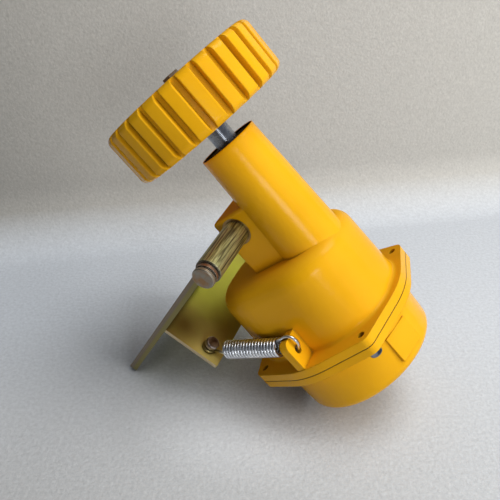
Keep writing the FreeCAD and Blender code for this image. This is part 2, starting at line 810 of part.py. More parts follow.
def make_bearings():
    """Two sealed bearings, each with an outer ring, an inner ring and its seals."""
    inner_rim = "spindle_radius + bearing_ring_wall"
    outer_rim = "bearing_radius - bearing_ring_wall"
    for label, foot in (("front", "front_bearing_foot"), ("rear", "bearing_bore_floor")):
        top = foot + " + bearing_width"
        turned_piece(label + "_bearing_outer", SPINDLE, tube_corners(
            outer_rim, "bearing_radius", foot, top))
        turned_piece(label + "_bearing_inner", SPINDLE, tube_corners(
            "spindle_radius + fit_gap", inner_rim, foot, top))
        turned_piece(label + "_bearing_seal", SPINDLE, tube_corners(
            inner_rim + " + lip_clearance", outer_rim, foot + " + bearing_seal_inset",
            top + " - bearing_seal_inset"))


def make_neck_rings():
    """Spacer, retaining rings and lip seal that go with the bearings."""
    turned_piece("bearing_spacer", SPINDLE, tube_corners(
        "spindle_radius + fit_gap", "spindle_radius + spacer_wall",
        "bearing_bore_floor + bearing_width", "front_bearing_foot"))
    top = "front_bearing_foot + bearing_width"
    turned_piece("bearing_circlip", SPINDLE, tube_corners(
        "bearing_radius - ring_height", "bearing_radius", top, top + " + ring_thickness"))
    turned_piece("spindle_circlip", SPINDLE, tube_corners(
        "spindle_radius + fit_gap", "spindle_radius + ring_height",
        "bearing_bore_floor - ring_thickness", "bearing_bore_floor"))
    lip = "spindle_radius + lip_clearance"
    foot = "neck_top - seal_depth"
    face = "neck_top + seal_flange_thickness"
    turned_piece("shaft_seal", SPINDLE, (
        ("bearing_radius", foot), ("bearing_radius", "neck_top"), ("seal_flange_radius", "neck_top"),
        ("seal_flange_radius", face), (lip, face), (lip, face + " - seal_web"),
        ("bearing_radius - seal_wall", face + " - seal_web"), ("bearing_radius - seal_wall", foot)))


def make_magnet_disc():
    """Disc on the spindle's tail with a ring of magnets and its screw."""
    body = turned_piece("magnet_disc", SPINDLE, tube_corners(
        "disc_seat_radius + fit_gap", "disc_radius", "spindle_tail", "spindle_tail + disc_thickness"))
    spots = list(ring_places(
        int(size("magnet_count")), size("magnet_circle_radius"), size("spindle_tail"), 0))
    for index, place in enumerate(spots):
        hole = body.newObject("PartDesign::SubtractiveCylinder", "magnet_hole_%d" % index)
        bind(hole, Radius="magnet_radius + fit_gap", Height="magnet_depth")
        hole.Placement = place
    magnet = master_body("magnet")
    add_primitive(magnet, "AdditiveCylinder", "magnet_shape", ("0", "0", "0"),
                  Radius="magnet_radius", Height="magnet_depth")
    add_repeat("disc_magnets", SPINDLE, magnet, spots)
    screw = new_body("disc_screw", SPINDLE)
    add_primitive(screw, "AdditiveCylinder", "disc_screw_head",
                  ("0", "0", "spindle_tail - disc_screw_head_height"),
                  Radius="disc_screw_head_radius", Height="disc_screw_head_height")
    add_primitive(screw, "AdditiveCylinder", "disc_screw_shank", ("0", "0", "spindle_tail"),
                  Radius="disc_screw_radius", Height="disc_screw_length")


ROOF = "chamber_height - chamber_roof"
BOARD_FOOT = ROOF + " - board_drop"
BOARD_TOP = BOARD_FOOT + " + board_thickness"


def board_spots():
    """Places of the board's four standoffs."""
    low = -total("board_low_end - board_hole_inset")
    high = total("board_high_end - board_hole_inset")
    side = total("board_half_width - board_hole_inset")
    return [Placement(Vector(x, y, 0), Rotation()) for x in (low, high) for y in (-side, side)]


def make_board():
    """Circuit board with the sensor under the magnets and the terminals on its other side."""
    body = new_body("circuit_board", UNIT)
    add_primitive(body, "AdditiveBox", "board", ("0 - board_low_end", "0 - board_half_width", BOARD_FOOT),
                  Length="board_low_end + board_high_end", Width="2*board_half_width",
                  Height="board_thickness")
    for index, place in enumerate(board_spots()):
        hole = body.newObject("PartDesign::SubtractiveCylinder", "board_hole_%d" % index)
        bind(hole, Radius="board_screw_radius + hole_gap", Height="board_thickness")
        hole.Placement = place * Placement(Vector(0, 0, total(BOARD_FOOT)), Rotation())
    sensor = new_body("sensor", UNIT)
    add_primitive(sensor, "AdditiveBox", "sensor_case",
                  ("neck_offset - sensor_half_length",
                   "0 - magnet_circle_radius - sensor_half_width", BOARD_TOP),
                  Length="2*sensor_half_length", Width="2*sensor_half_width", Height="sensor_height")
    block = new_body("terminal_block", UNIT)
    add_primitive(block, "AdditiveBox", "terminal_case",
                  ("0 - terminal_end", "0 - terminal_half_width", BOARD_FOOT + " - terminal_height"),
                  Length="terminal_length", Width="2*terminal_half_width", Height="terminal_height")


def make_board_fasteners():
    """Hexagon standoffs between roof and board, and the screws into them."""
    post = master_body("standoff")
    add_primitive(post, "AdditivePrism", "standoff_shape", ("0", "0", BOARD_TOP),
                  Circumradius="standoff_radius", Height="board_drop - board_thickness")
    add_primitive(post, "SubtractiveCylinder", "standoff_hole", ("0", "0", BOARD_TOP),
                  Radius="board_screw_radius + fit_gap", Height="board_screw_length")
    add_repeat("board_standoffs", UNIT, post, board_spots())
    screw = master_body("board_screw")
    add_primitive(screw, "AdditiveCylinder", "board_screw_head",
                  ("0", "0", BOARD_FOOT + " - board_screw_head_height"),
                  Radius="board_screw_head_radius", Height="board_screw_head_height")
    add_primitive(screw, "AdditiveCylinder", "board_screw_shank", ("0", "0", BOARD_FOOT),
                  Radius="board_screw_radius", Height="board_screw_length")
    add_repeat("board_screws", UNIT, screw, board_spots())


def make_gland():
    """Cable gland in the cable boss: threaded body, rubber seal and domed nut."""
    seat = "cable_boss_reach + gland_hex_height"
    crown = seat + " + gland_neck_height"
    pocket = crown + " - gland_seal_height"
    body = new_body("gland_body", GLAND)
    add_primitive(body, "AdditiveCylinder", "gland_threads", ("0", "0", "cable_boss_root"),
                  Radius="gland_thread_radius",
                  Height="cable_boss_reach - cable_boss_root + gland_hex_height + gland_neck_height")
    add_primitive(body, "AdditivePrism", "gland_hexagon", ("0", "0", "cable_boss_reach"),
                  Circumradius="gland_hex_radius", Height="gland_hex_height")
    add_primitive(body, "SubtractiveCylinder", "gland_bore", ("0", "0", "cable_boss_root"),
                  Radius="gland_bore_radius", Height=crown + " - cable_boss_root")
    add_primitive(body, "SubtractiveCylinder", "gland_pocket", ("0", "0", pocket),
                  Radius="gland_pocket_radius + fit_gap", Height="gland_seal_height")
    turned_piece("gland_seal", GLAND, tube_corners("cable_radius", "gland_pocket_radius", pocket, crown))
    nut = new_body("gland_nut", GLAND)
    rim = seat + " + gland_nut_height"
    add_primitive(nut, "AdditivePrism", "nut_hexagon", ("0", "0", seat + " + face_gap"),
                  Circumradius="gland_hex_radius", Height="gland_nut_height - face_gap")
    add_primitive(nut, "AdditiveCone", "nut_dome", ("0", "0", rim), Radius1="gland_dome_radius",
                  Radius2="gland_thread_radius", Height="gland_dome_height")
    add_primitive(nut, "SubtractiveCylinder", "nut_thread", ("0", "0", seat),
                  Radius="gland_thread_radius + fit_gap", Height="gland_neck_height + fit_gap")
    add_primitive(nut, "SubtractiveCylinder", "nut_mouth", ("0", "0", seat), Radius="gland_bore_radius",
                  Height="gland_nut_height + gland_dome_height")


def make_pivot():
    """Pivot bush in the boss; pin, washer and retaining ring on the bracket."""
    bush = new_body("pivot_bush", UNIT)
    bore = "pin_radius + pivot_clearance"
    add_primitive(bush, "AdditiveCylinder", "bush_outside",
                  ("0", "0 - boss_half_width", "pivot_height"), ACROSS,
                  Radius=bore + " + bush_wall - fit_gap", Height="2*boss_half_width")
    add_primitive(bush, "SubtractiveCylinder", "bush_bore",
                  ("0", "0 - boss_half_width - overrun", "pivot_height"), ACROSS,
                  Radius=bore, Height="2*boss_half_width + 2*overrun")
    washer_foot = "boss_half_width + face_gap"
    washer_top = washer_foot + " + pin_washer_thickness"
    ring_top = washer_top + " + pin_ring_groove_width"
    make_pin(washer_top, ring_top)
    turned_piece("pin_washer", PIN, tube_corners(
        "pin_radius + lip_clearance", "pin_washer_radius", washer_foot, washer_top))
    turned_piece("pin_circlip", PIN, tube_corners(
        "pin_groove_radius + fit_gap", "pin_radius + ring_height", washer_top + " + fit_gap",
        ring_top + " - fit_gap"))


def make_pin(ring_foot, ring_top):
    """Turned pin with a stepped tip between two grooves, and a ring groove at its far end."""
    near_end = "0 - pin_near_end"
    groove_foot = near_end + " + pin_disc_thickness"
    collar_foot = groove_foot + " + pin_groove_width"
    collar_top = collar_foot + " + pin_collar_width"
    body_foot = collar_top + " + pin_edge"
    slim = "pin_radius - pin_edge"
    slim_tip = "pin_tip_radius - pin_edge"
    turned_piece("pivot_pin", PIN, (
        ("0", near_end), (slim_tip, near_end), ("pin_tip_radius", near_end + " + pin_edge"),
        ("pin_tip_radius", groove_foot), ("pin_groove_radius", groove_foot),
        ("pin_groove_radius", collar_foot), ("pin_tip_radius", collar_foot),
        ("pin_tip_radius", collar_top), ("pin_groove_radius", collar_top),
        ("pin_groove_radius", body_foot), (slim, body_foot), ("pin_radius", body_foot + " + pin_edge"),
        ("pin_radius", ring_foot), ("pin_groove_radius", ring_foot), ("pin_groove_radius", ring_top),
        ("pin_radius", ring_top), ("pin_radius", "pin_far_end - pin_edge"), (slim, "pin_far_end"),
        ("0", "pin_far_end")))


def make_bracket():
    """Plate with a tongue up to the pin, two mounting slots and a shelf for the spring."""
    body = new_body("mounting_bracket", BRACKET)
    back = "0 - plate_thickness"
    side = "0 - plate_half_width"
    add_primitive(body, "AdditiveBox", "plate", (back, side, "0 - plate_drop"),
                  Length="plate_thickness", Width="2*plate_half_width",
                  Height="plate_drop - shelf_drop + plate_rise")
    tongue = add_primitive(body, "AdditiveBox", "tongue", (back, side, "0 - shelf_drop"),
                           Length="plate_thickness",
                           Width="plate_half_width - boss_half_width - tongue_gap",
                           Height="shelf_drop - tongue_drop")
    low = -size("plate_drop")
    flank = size("plate_half_width")
    add_fillet(body, "plate_corners", tongue,
               lambda middle: near(middle.z, low) and near(abs(middle.y), flank), "plate_corner_radius")
    shelf = add_primitive(body, "AdditiveBox", "shelf", ("0", side, "0 - shelf_drop - shelf_thickness"),
                          Length="shelf_reach", Width="2*plate_half_width", Height="shelf_thickness")
    edge = size("shelf_reach")
    add_fillet(body, "shelf_corners", shelf,
               lambda middle: near(middle.x, edge) and near(abs(middle.y), flank), "shelf_corner_radius")
    add_primitive(body, "SubtractiveCylinder", "pin_seat", ("0", side + " - overrun", "0"), ACROSS,
                  Radius="pin_radius", Height="plate_half_width")
    for name, spot in (("near_slot", -size("slot_spacing") / 2), ("far_slot", size("slot_spacing") / 2)):
        cut_slot(body, name, spot)
    add_primitive(body, "SubtractiveCylinder", "anchor_hole",
                  ("anchor_reach", "0 - anchor_side", "0 - shelf_drop - shelf_thickness - overrun"),
                  Radius="anchor_radius + hole_gap", Height="shelf_thickness + 2*overrun")


def cut_slot(body, name, spot):
    """Level mounting slot with round ends."""
    sketch = new_sketch(body, name + "_outline", "YZ_Plane", "0 - plate_thickness - overrun")
    centre = Vector(spot, -size("slot_to_pivot"), 0)
    travel = Vector(size("slot_half_travel"), 0, 0)
    rise = Vector(0, size("slot_half_width"), 0)
    crown = Vector(size("slot_half_width"), 0, 0)
    near_end, far_end = centre - travel, centre + travel
    draw_chain(sketch, Part.LineSegment(near_end + rise, far_end + rise),
               Part.Arc(far_end + rise, far_end + crown, far_end - rise),
               Part.LineSegment(far_end - rise, near_end - rise),
               Part.Arc(near_end - rise, near_end - crown, near_end + rise))
    add_pocket(body, name, sketch, "plate_thickness + 2*overrun", upwards=True)


def make_anchor():
    """Pan-head screw with a washer and a nut, for the spring's eye on the shelf."""
    spot = ("anchor_reach", "0 - anchor_side")
    shelf = "0 - shelf_drop"
    below = shelf + " - shelf_thickness"
    screw = new_body("anchor_screw", BRACKET)
    add_primitive(screw, "AdditiveCylinder", "anchor_shank", spot + (below + " - anchor_tail",),
                  Radius="anchor_radius", Height="anchor_tail + shelf_thickness + anchor_stand")
    head = add_primitive(screw, "AdditiveCylinder", "anchor_head", spot + (shelf + " + anchor_stand",),
                         Radius="anchor_head_radius", Height="anchor_head_height")
    crown = total(shelf + " + anchor_stand + anchor_head_height")
    add_fillet(screw, "anchor_crown", head, lambda middle: near(middle.z, crown), "screw_crown_radius")
    washer_foot = below + " - anchor_washer_thickness"
    washer = new_body("anchor_washer", BRACKET)
    add_primitive(washer, "AdditiveCylinder", "anchor_washer_disc", spot + (washer_foot,),
                  Radius="anchor_washer_radius", Height="anchor_washer_thickness")
    add_primitive(washer, "SubtractiveCylinder", "anchor_washer_hole", spot + (washer_foot,),
                  Radius="anchor_radius + hole_gap", Height="anchor_washer_thickness")
    nut_foot = washer_foot + " - anchor_nut_height"
    nut = new_body("anchor_nut", BRACKET)
    add_primitive(nut, "AdditivePrism", "anchor_nut_shape", spot + (nut_foot,),
                  Circumradius="anchor_nut_radius", Height="anchor_nut_height")
    add_primitive(nut, "SubtractiveCylinder", "anchor_nut_bore", spot + (nut_foot,),
                  Radius="anchor_radius + fit_gap", Height="anchor_nut_height")


def spring_frame():
    """Spring's own frame: z from the anchor to the lug, x towards the lug's top; and its length."""
    anchor = BRACKET.multVec(Vector(
        size("anchor_reach"), -size("anchor_side"), size("eye_height") - size("shelf_drop")))
    lug = UNIT.multVec(Vector(0, -size("lug_hole_reach"), total("lug_hole_height + hook_rise")))
    along = lug - anchor
    upward = UNIT.Rotation.multVec(Z_AXIS)
    turn = Rotation(upward, Vector(), along, "ZXY")
    return Placement(anchor, turn), along.Length


def make_spring():
    """Tension spring: close coils as a turned, grooved sleeve, with an eye and a hook of wire."""
    frame, span = spring_frame()
    coil_end = span - size("hook_lead")
    coil_start = coil_end - size("coil_pitch") * size("spring_turns")
    body = new_body("tension_spring", frame)
    add_coils(body, coil_start)
    add_hook(body, coil_end)
    eye = body.newObject("PartDesign::AdditiveTorus", "eye")
    bind(eye, Radius1="eye_radius", Radius2="wire_radius")
    level = frame.Rotation.inverted()
    eye.Placement = Placement(ORIGIN, level * Rotation(Z_AXIS, QUARTER_TURN))
    start = level.multVec(Vector(size("eye_radius"), 0, 0))
    finish = Vector(-size("spring_radius"), 0, coil_start + size("wire_sink"))
    lead = body.newObject("PartDesign::AdditiveCylinder", "eye_lead")
    bind(lead, Radius="wire_radius")
    lead.Height = (finish - start).Length
    lead.Placement = Placement(start, Rotation(Z_AXIS, finish - start))


def add_coils(body, start):
    """Sleeve with one crest for each turn of the wire."""
    bore = size("spring_radius") - size("wire_radius")
    crest = size("spring_radius") + size("wire_radius")
    valley = crest - size("coil_valley")
    pitch = size("coil_pitch")
    turns = int(size("spring_turns"))
    profile = [Vector(bore, start, 0), Vector(valley, start, 0)]
    for index in range(turns):
        foot = start + index * pitch
        profile.append(Vector(crest, foot + pitch / 2, 0))
        profile.append(Vector(valley, foot + pitch, 0))
    profile.append(Vector(bore, start + turns * pitch, 0))
    sketch = new_sketch(body, "coil_profile", "YZ_Plane")
    for index, point in enumerate(profile):
        sketch.addGeometry(Part.LineSegment(point, profile[(index + 1) % len(profile)]), False)
    coils = body.newObject("PartDesign::Revolution", "coils")
    coils.Profile = sketch
    coils.ReferenceAxis = (sketch, ["V_Axis"])
    coils.Angle = FULL_TURN


def add_hook(body, coil_end):
    """Hook over the lug and through its hole: a rising lead, an arc and a short tip."""
    reach = size("hook_radius")
    bend = Vector(reach - size("hook_rise"), coil_end + size("hook_lead"), 0)
    start = Vector(size("hook_foot"), coil_end - size("wire_sink"), 0)
    back = start - bend
    touch = math.atan2(back.y, back.x) + math.acos(reach / back.Length)
    circle = Part.Circle(bend, Z_AXIS, reach)
    hole = bend - Vector(reach, 0, 0)
    path = new_sketch(body, "hook_path", "XZ_Plane")
    draw_chain(path, Part.LineSegment(start, circle.value(touch)), Part.ArcOfCircle(circle, touch, math.pi),
               Part.LineSegment(hole, hole - Vector(0, size("hook_tip"), 0)))
    wire = new_sketch(body, "hook_wire", "XY_Plane", str(start.y))
    draw_circle(wire, "hook_foot", "0", "wire_radius")
    hook = body.newObject("PartDesign::AdditivePipe", "hook")
    hook.Profile = wire
    hook.Spine = (path, ["Edge1", "Edge2", "Edge3"])


def place_all():
    """Set every sub-part in the bracket frame."""
    for label, piece in pieces.items():
        piece.Placement = homes[label]


def check_all():
    """Stop if any object failed or any sub-part has no valid solid."""
    doc.recompute()
    for item in doc.Objects:
        if "Invalid" in item.State or "Error" in item.State:
            raise RuntimeError("object failed: " + item.Name)
    for label, piece in pieces.items():
        if piece.Shape.isNull() or not piece.Shape.isValid():
            raise RuntimeError("no valid shape: " + label)


def write_all():
    """Write each sub-part to its own file."""
    os.makedirs("parts", exist_ok=True)
    for label, piece in pieces.items():
        piece.Shape.exportStep("parts/" + label + ".step")
        print("%-22s %2d solids %10.0f mm3" % (label, len(piece.Shape.Solids), piece.Shape.Volume))


make_housing()
make_cover()
make_gasket()
make_cover_fasteners()
make_gland()
make_wheel()
make_spindle()
make_wheel_fasteners()
make_bearings()
make_neck_rings()
make_magnet_disc()
make_board()
make_board_fasteners()
make_pivot()
make_bracket()
make_anchor()
make_spring()
place_all()
check_all()
write_all()
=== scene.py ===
"""Looks of the belt slip switch: enamel, zinc and steel finishes, a wound spring, studio and camera."""
import math

import bpy
from mathutils import Matrix, Vector


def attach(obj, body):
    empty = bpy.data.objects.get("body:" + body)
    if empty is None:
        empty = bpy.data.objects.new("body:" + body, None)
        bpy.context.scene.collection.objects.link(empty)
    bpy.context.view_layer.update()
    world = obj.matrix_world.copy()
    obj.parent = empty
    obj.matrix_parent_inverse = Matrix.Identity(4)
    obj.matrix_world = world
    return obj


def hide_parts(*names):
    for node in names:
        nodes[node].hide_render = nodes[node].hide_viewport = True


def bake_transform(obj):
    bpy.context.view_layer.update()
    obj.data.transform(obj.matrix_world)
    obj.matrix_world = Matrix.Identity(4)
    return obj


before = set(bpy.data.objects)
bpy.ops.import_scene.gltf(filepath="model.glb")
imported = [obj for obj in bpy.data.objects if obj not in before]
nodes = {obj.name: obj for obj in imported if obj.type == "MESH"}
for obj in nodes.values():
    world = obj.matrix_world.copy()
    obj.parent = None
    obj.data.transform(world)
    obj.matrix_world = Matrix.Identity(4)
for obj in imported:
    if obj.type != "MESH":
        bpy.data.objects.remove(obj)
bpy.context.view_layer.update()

FULL_TURN = 2 * math.pi

# Resting attitude of the swinging unit, as in the part's source, in metres.
PIVOT = Vector((0.006, 0.0, 0.120))
PIVOT_HEIGHT = 0.0945
REST_TILT = math.radians(17)
UNIT = (Matrix.Translation(PIVOT) @ Matrix.Rotation(REST_TILT - math.pi / 2, 4, "Y")
        @ Matrix.Translation((0, 0, -PIVOT_HEIGHT)))
UNIT_TURN = UNIT.to_3x3()
NECK_AXIS = UNIT_TURN @ Vector((0, 0, 1))

# Camera of the photograph, in the unit's frame, with its lens and sensor in millimetres.
CAMERA_PLACE = Vector((0.2555, -0.2938, 0.1743))
CAMERA_TARGET = Vector((0.0241, -0.0456, 0.0888))
CAMERA_UP = Vector((0.3645, 0.5884, 0.7217))
CAMERA_LENS = 42.84
CAMERA_SENSOR = 36.0
CAMERA_NEAREST = 0.01

# Floor under the object, whose upward direction is in the unit's frame, and the wall behind it, with the
# bend between them and the height at which the floor's colour has changed to the wall's.
FLOOR_UP = Vector((0.647, 0.155, 0.747))
WALL_DISTANCE = 0.605
WALL_TURN = math.radians(12)
SWEEP_RADIUS = 0.06
SWEEP_STEPS = 16
WALL_COLOUR_HEIGHT = 0.6 * SWEEP_RADIUS
STAGE_REACH = 3.0

# Places and directions in the floor's frame: right, away and up from the point under the camera.
# Centre of the floor's painted pool of light.
FLOOR_LIGHT_POOL_CENTRE = (0.0, 0.345, 0.0)
LAMP_TARGET = (0.0, 0.42, 0.08)
BRIGHT_SIDE = Vector((0.80, -0.15, 0.58))
ROOM_STRENGTH = 0.89

# Bracket's plate, whose back is the part's YZ plane, as in the part's source, and where its sides face.
PLATE_THICKNESS = 0.006
PLATE_SIDES = (0, 1, 0)

# Places on the bracket's shelf: a painted pool of light, painted light that lifts the shade by the anchor,
# and a darker brown patch.
SHELF_LIGHT_POOL = (0.018, 0.012, 0.0386)
SHELF_PAINTED_LIGHT = (0.042, -0.053, 0.0386)
SHELF_DARK_PATCH = (0.014, -0.042, 0.0386)

# End of the neck, round the spindle's axis, as in the part's source, and the rim that stands on it.
NECK_OFFSET = 0.028
NECK_TOP = 0.140
NECK_TOP_RADIUS = 0.020
NECK_TAPER = 0.03125
RIM_HEIGHT = 0.0020
RIM_WALL = 0.00075
RIM_LAP = 0.0015
RIM_EDGE = 0.0002
RIM_SKIN = 0.00003
RIM_SIDES = 96

# Pivot pin's direction, near end and length of its stepped tip, as in the part's source.
PIN_AXIS = (0, 1, 0)
PIN_END = -0.067
PIN_TIP = 0.009

# Tension spring, as in the part's source, and how far its coils start off the line from anchor to lug.
ANCHOR = PIVOT + Vector((0.032, -0.046, -0.0801))
LUG_EYE = UNIT @ Vector((0, -0.051, 0.020))
SPRING_RADIUS = 0.0054
WIRE_RADIUS = 0.00115
COIL_PITCH = 0.0024
SPRING_TURNS = 19
EYE_RADIUS = 0.0039
HOOK_RADIUS = 0.0061
HOOK_RISE = 0.003
HOOK_LEAD = 0.0085
HOOK_TIP = 0.0035
COIL_SHIFT = Vector((0.0016, -0.0016, -0.0015))

# Points along the wire, those left out to open the eye, and the smoothness of the wire's mesh.
POINTS_PER_TURN = 24
EYE_OPENING = 2
WIRE_ROUNDNESS = 3
ROUTE_ORDER = 3
ROUTE_STEPS = 2

# Samples of the corner and edge patterns, and the cosine above which a face counts as an end face.
CREVICE_SAMPLES = 6
BEVEL_SAMPLES = 4
END_FACE_COSINE = 0.9

# Colours of the enamel.
ENAMEL_DEEP = (0.86, 0.42, 0.006)
ENAMEL_PURE = (0.93, 0.48, 0.010)
# Dust and painted shade in the enamel's corners and grooves.
ENAMEL_DUST_AND_SHADE = (0.13, 0.06, 0.004)
ENAMEL_SPECK = (0.10, 0.05, 0.01)

# Colours of the bracket's plating and of its sheared edges.
PLATING_GREEN = (0.20, 0.24, 0.025)
PLATING_OLIVE = (0.34, 0.31, 0.040)
PLATING_GOLD = (0.38, 0.26, 0.045)
PLATING_BROWN = (0.28, 0.16, 0.060)
PLATING_GRAIN = (0.24, 0.21, 0.09)
PLATING_LIGHT_POOL = (0.50, 0.50, 0.05)
PLATING_PAINTED_LIGHT = (0.80, 0.62, 0.17)
PLATING_DARK_PATCH = (0.16, 0.10, 0.012)
# Sheared edges: a painted grey reflection, the edge's own olive and a painted cream highlight.
SHEAR_GREY_REFLECTION = (0.24, 0.19, 0.14)
SHEAR_OLIVE = (0.27, 0.23, 0.08)
SHEAR_HIGHLIGHT = (0.62, 0.50, 0.30)
# Painted shade in the bracket's corners and along its joints.
CORNER_SHADE = (0.02, 0.015, 0.003)
JOINT_SHADE = (0.03, 0.018, 0.004)

# Colours of the pin's streaks, of its end disc and of its tip's collar, with painted shade for the grooves
# of its tip.
STREAK_BLACK = (0.035, 0.035, 0.015)
STREAK_OLIVE = (0.22, 0.23, 0.08)
STREAK_PALE = (0.64, 0.66, 0.30)
STREAK_TAN = (0.30, 0.24, 0.12)
STREAK_BROWN = (0.05, 0.04, 0.02)
PIN_STAIN = (0.30, 0.21, 0.14)
PIN_CORNER_SHADE = (0.012, 0.009, 0.006)
PIN_WORN_EDGE_AND_GLINT = (0.70, 0.62, 0.48)
DISC_GREY = (0.32, 0.29, 0.24)
DISC_RUST = (0.34, 0.20, 0.10)
TIP_GREY = (0.28, 0.24, 0.18)
TIP_GROOVE_SHADE = (0.010, 0.008, 0.008)
TIP_LAST_GROOVE_SHADE = (0.012, 0.009, 0.009)
COLLAR_DARK = (0.24, 0.12, 0.07)
COLLAR_COPPER = (0.30, 0.17, 0.10)

# Colours that plain metals share.
METAL_CORNER_SHADE = (0.01, 0.01, 0.012)
METAL_BROWN_TINT = (0.34, 0.27, 0.11)
METAL_WORN_EDGE_AND_GLINT = (0.85, 0.82, 0.80)

# Colours of the card: wall from left to right with painted shade to the left, floor near and far on either
# side with painted light to the right and further away, and its painted pool of light.
WALL_LEFT = (0.10, 0.10, 0.10)
WALL_MIDDLE = (0.40, 0.39, 0.36)
WALL_PALE = (0.64, 0.62, 0.58)
WALL_RIGHT = (0.72, 0.705, 0.66)
FLOOR_NEAR_LEFT = (0.51, 0.51, 0.50)
FLOOR_NEAR_RIGHT = (0.72, 0.75, 0.77)
FLOOR_FAR_LEFT = (0.77, 0.815, 0.87)
FLOOR_FAR_RIGHT = (0.82, 0.86, 0.91)
FLOOR_LIGHT_POOL = (0.90, 0.93, 0.97)

# Colours of the room, from its dark side to its bright side.
ROOM_DARK = (0.02, 0.02, 0.02)
ROOM_MIDDLE = (0.07, 0.07, 0.08)
ROOM_BRIGHT = (0.42, 0.45, 0.50)


def grey(level):
    """Neutral colour of a level."""
    return (level, level, level)


def new_material(name):
    """Empty node material with its tree and its shader."""
    material = bpy.data.materials.new(name)
    material.use_nodes = True
    tree = material.node_tree
    return material, tree, tree.nodes["Principled BSDF"]


def set_input(tree, node, name, value):
    """Set one input of a node to a value, or link it to another node's output."""
    if isinstance(value, bpy.types.NodeSocket):
        tree.links.new(value, node.inputs[name])
    else:
        node.inputs[name].default_value = value


def add_node(tree, kind, inputs=None, **settings):
    """Node of a kind, with input values or links by name and settings by attribute."""
    node = tree.nodes.new("ShaderNode" + kind)
    for name, value in settings.items():
        setattr(node, name, value)
    for name, value in (inputs or {}).items():
        set_input(tree, node, name, value)
    return node


def arithmetic(tree, operation, *values):
    """Result of an arithmetic operation on values or links."""
    return add_node(tree, "Math", dict(enumerate(values)), operation=operation).outputs[0]


def compare_vectors(tree, operation, first, second):
    """Number that an operation makes of two vectors."""
    node = add_node(tree, "VectorMath", {0: first, 1: second}, operation=operation)
    return node.outputs["Value"]


def progress(tree, value, start, end):
    """How far a value has come on its way from a start to an end, from 0 to 1."""
    inputs = {"Value": value, "From Min": start, "From Max": end}
    return add_node(tree, "MapRange", inputs).outputs["Result"]


def spread(tree, value, low, high):
    """A pattern from 0 to 1, taken to a range."""
    inputs = {"Value": value, "To Min": low, "To Max": high}
    return add_node(tree, "MapRange", inputs).outputs["Result"]


def ramp(tree, factor, stops):
    """Colour ramp through (position, colour) stops."""
    node = add_node(tree, "ValToRGB", {"Fac": factor})
    elements = node.color_ramp.elements
    while len(elements) < len(stops):
        elements.new(1.0)
    for element, (position, colour) in zip(elements, stops):
        element.position = position
        element.color = (*colour, 1.0)
    return node.outputs["Color"]


def mask(tree, factor, start, end, most=1.0):
    """0 where a factor is below a start, rising to a most at an end."""
    return ramp(tree, factor, ((start, grey(0.0)), (end, grey(most))))


def blend_colour(tree, factor, first, second, mode="MIX"):
    """Two colours mixed by a factor; each is a colour or a link."""
    node = add_node(tree, "Mix", data_type="RGBA", blend_type=mode)
    colours = [socket for socket in node.inputs if socket.type == "RGBA"]
    set_input(tree, node, "Factor", factor)
    for socket, colour in zip(colours, (first, second)):
        if isinstance(colour, bpy.types.NodeSocket):
            tree.links.new(colour, socket)
        else:
            socket.default_value = (*colour, 1.0)
    return next(socket for socket in node.outputs if socket.type == "RGBA")


def object_place(tree):
    """Place on the object, in metres."""
    return add_node(tree, "TexCoord").outputs["Object"]


def coordinate(tree, axis):
    """One coordinate of the place on the object."""
    return add_node(tree, "SeparateXYZ", {"Vector": object_place(tree)}).outputs[axis]


def noise(tree, scale, detail=3.0, roughness=0.5, stretch=(1, 1, 1)):
    """Noise pattern over the object, from 0 to 1; scale is in cells for each metre."""
    place = add_node(tree, "Mapping", {"Vector": object_place(tree), "Scale": stretch}).outputs["Vector"]
    inputs = {"Vector": place, "Scale": scale, "Detail": detail, "Roughness": roughness}
    return add_node(tree, "TexNoise", inputs).outputs["Fac"]


def specks(tree, scale, share, radius):
    """Scattered spots: 1 inside a spot, 0 elsewhere; share is the part of the cells that has one."""
    cell = add_node(tree, "TexVoronoi", {"Vector": object_place(tree), "Scale": scale}).outputs
    chosen = arithmetic(tree, "LESS_THAN", cell["Color"], share)
    inside = arithmetic(tree, "LESS_THAN", cell["Distance"], radius)
    return arithmetic(tree, "MULTIPLY", chosen, inside)


def crevices(tree, distance):
    """1 in tight corners and 0 in the open."""
    shade = add_node(tree, "AmbientOcclusion", {"Distance": distance}, samples=CREVICE_SAMPLES)
    return arithmetic(tree, "SUBTRACT", 1.0, shade.outputs["AO"])


def softened(tree, radius):
    """Normal of the solid with its edges rounded by a radius."""
    return add_node(tree, "Bevel", {"Radius": radius}, samples=BEVEL_SAMPLES).outputs["Normal"]


def relief(tree, shader, height, depth, edge_radius=0.0):
    """Bump of a height pattern, in metres, over edges softened by a radius."""
    inputs = {"Height": height, "Distance": depth, "Strength": 1.0}
    if edge_radius:
        inputs["Normal"] = softened(tree, edge_radius)
    bump = add_node(tree, "Bump", inputs)
    set_input(tree, shader, "Normal", bump.outputs["Normal"])


def edge_wear(tree, radius):
    """1 along the edges of a solid and 0 on its open faces."""
    true_normal = add_node(tree, "NewGeometry").outputs["Normal"]
    match = compare_vectors(tree, "DOT_PRODUCT", true_normal, softened(tree, radius))
    return progress(tree, match, start=1.0, end=0.85)


def turned_to(tree, axis):
    """How far a face is turned to an axis of the part: 1 towards it, 0 across it and -1 away from it."""
    normal = add_node(tree, "TexCoord").outputs["Normal"]
    return compare_vectors(tree, "DOT_PRODUCT", normal, axis)


def end_faces(tree, axis):
    """1 on faces across an axis of the part, at either end, and 0 on the rest."""
    size = arithmetic(tree, "ABSOLUTE", turned_to(tree, axis))
    return arithmetic(tree, "GREATER_THAN", size, END_FACE_COSINE)


def near_place(tree, place, inner, outer):
    """1 within an inner distance of a place on the object, 0 beyond an outer one."""
    gap = compare_vectors(tree, "DISTANCE", object_place(tree), place)
    return progress(tree, gap, start=outer, end=inner)


def tinted(tree, colour, tint, place, inner, outer):
    """A colour with a tint round a place: full within an inner distance, gone beyond an outer one."""
    return blend_colour(tree, near_place(tree, place, inner, outer), colour, tint)


